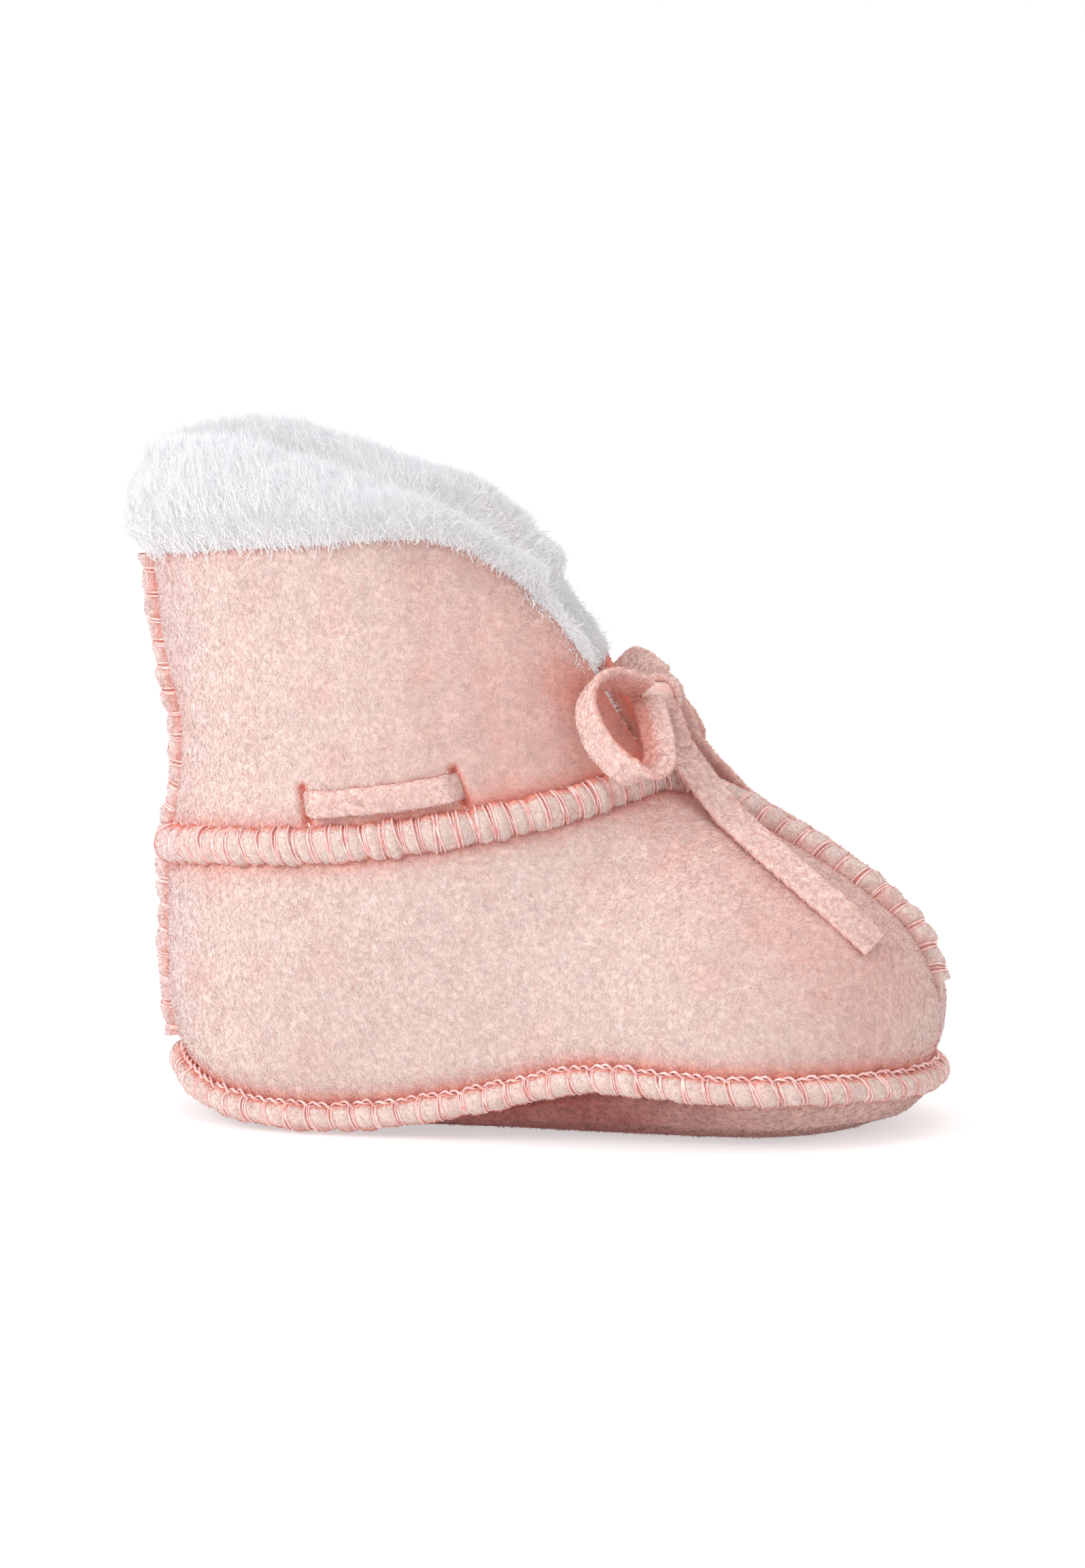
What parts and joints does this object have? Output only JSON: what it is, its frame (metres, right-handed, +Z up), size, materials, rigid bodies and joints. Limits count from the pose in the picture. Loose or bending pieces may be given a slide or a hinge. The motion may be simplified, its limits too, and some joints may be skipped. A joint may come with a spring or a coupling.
{
  "type": "baby bootie",
  "caption": "Soft-soled baby bootie of suede with fleece lining, whip-stitched seams, an open front collar and a suede lace tied in a bow.",
  "frame": {"origin": "on the floor under the middle of the bootie's length and width", "axes": "+X towards the toe, +Y to the wearer's left, +Z up"},
  "size_m": [0.1172, 0.0588, 0.095],
  "materials": {
    "suede": "napped, pale pink",
    "fleece": "white wool pile",
    "thread": "glossy twisted thread, dusty pink",
    "lace_suede": "napped, pale pink"
  },
  "bodies": {
    "boot": {"outsole": "suede", "lower_panel_right": "suede", "lower_panel_left": "suede", "shaft_panel_right": "suede", "shaft_panel_left": "suede", "sole_fleece": "fleece", "lower_fleece_right": "fleece", "lower_fleece_left": "fleece", "shaft_fleece_right": "fleece", "shaft_fleece_left": "fleece", "sole_stitching": "thread", "back_stitching": "thread", "ankle_stitching_right": "thread", "ankle_stitching_left": "thread", "centre_stitching": "thread", "lace_knot": "lace_suede", "lace_side_run_right": "lace_suede", "lace_side_run_left": "lace_suede", "lace_front_run_right": "lace_suede", "lace_front_run_left": "lace_suede", "lace_back_run": "lace_suede"},
    "flap_right": {"collar_flap_right": "suede", "flap_fleece_right": "fleece"},
    "flap_left": {"collar_flap_left": "suede", "flap_fleece_left": "fleece"},
    "loop_right": {"lace_loop_right": "lace_suede"},
    "loop_left": {"lace_loop_left": "lace_suede"},
    "tail_right": {"lace_tail_right": "lace_suede"},
    "tail_left": {"lace_tail_left": "lace_suede"}
  },
  "joints": [
    {"name": "collar_flap_fold_right", "type": "hinge", "parent": "boot", "child": "flap_right", "pos_m": [0.00814, -0.0125, 0.067], "axis": [0.8531, 0.326, -0.4074], "range_deg": [0, 50], "stiffness_Nm_per_rad": 0.0006},
    {"name": "collar_flap_fold_left", "type": "hinge", "parent": "boot", "child": "flap_left", "pos_m": [0.00814, 0.0125, 0.067], "axis": [-0.8531, 0.326, 0.4074], "range_deg": [0, 50], "stiffness_Nm_per_rad": 0.0006},
    {"name": "lace_loop_swing_right", "type": "hinge", "parent": "boot", "child": "loop_right", "pos_m": [0.0166, -0.0058, 0.06], "axis": [-0.5815, 0.3108, 0.7519], "range_deg": [0, 40]},
    {"name": "lace_loop_swing_left", "type": "hinge", "parent": "boot", "child": "loop_left", "pos_m": [0.0166, 0.0058, 0.06], "axis": [0.5815, 0.3108, -0.7519], "range_deg": [0, 40]},
    {"name": "lace_tail_lift_right", "type": "hinge", "parent": "boot", "child": "tail_right", "pos_m": [0.0194, -0.0046, 0.0544], "axis": [-0.318, -0.9481, 0], "range_deg": [0, 65]},
    {"name": "lace_tail_lift_left", "type": "hinge", "parent": "boot", "child": "tail_left", "pos_m": [0.0194, 0.0046, 0.0544], "axis": [0.318, -0.9481, 0], "range_deg": [0, 65]}
  ]
}
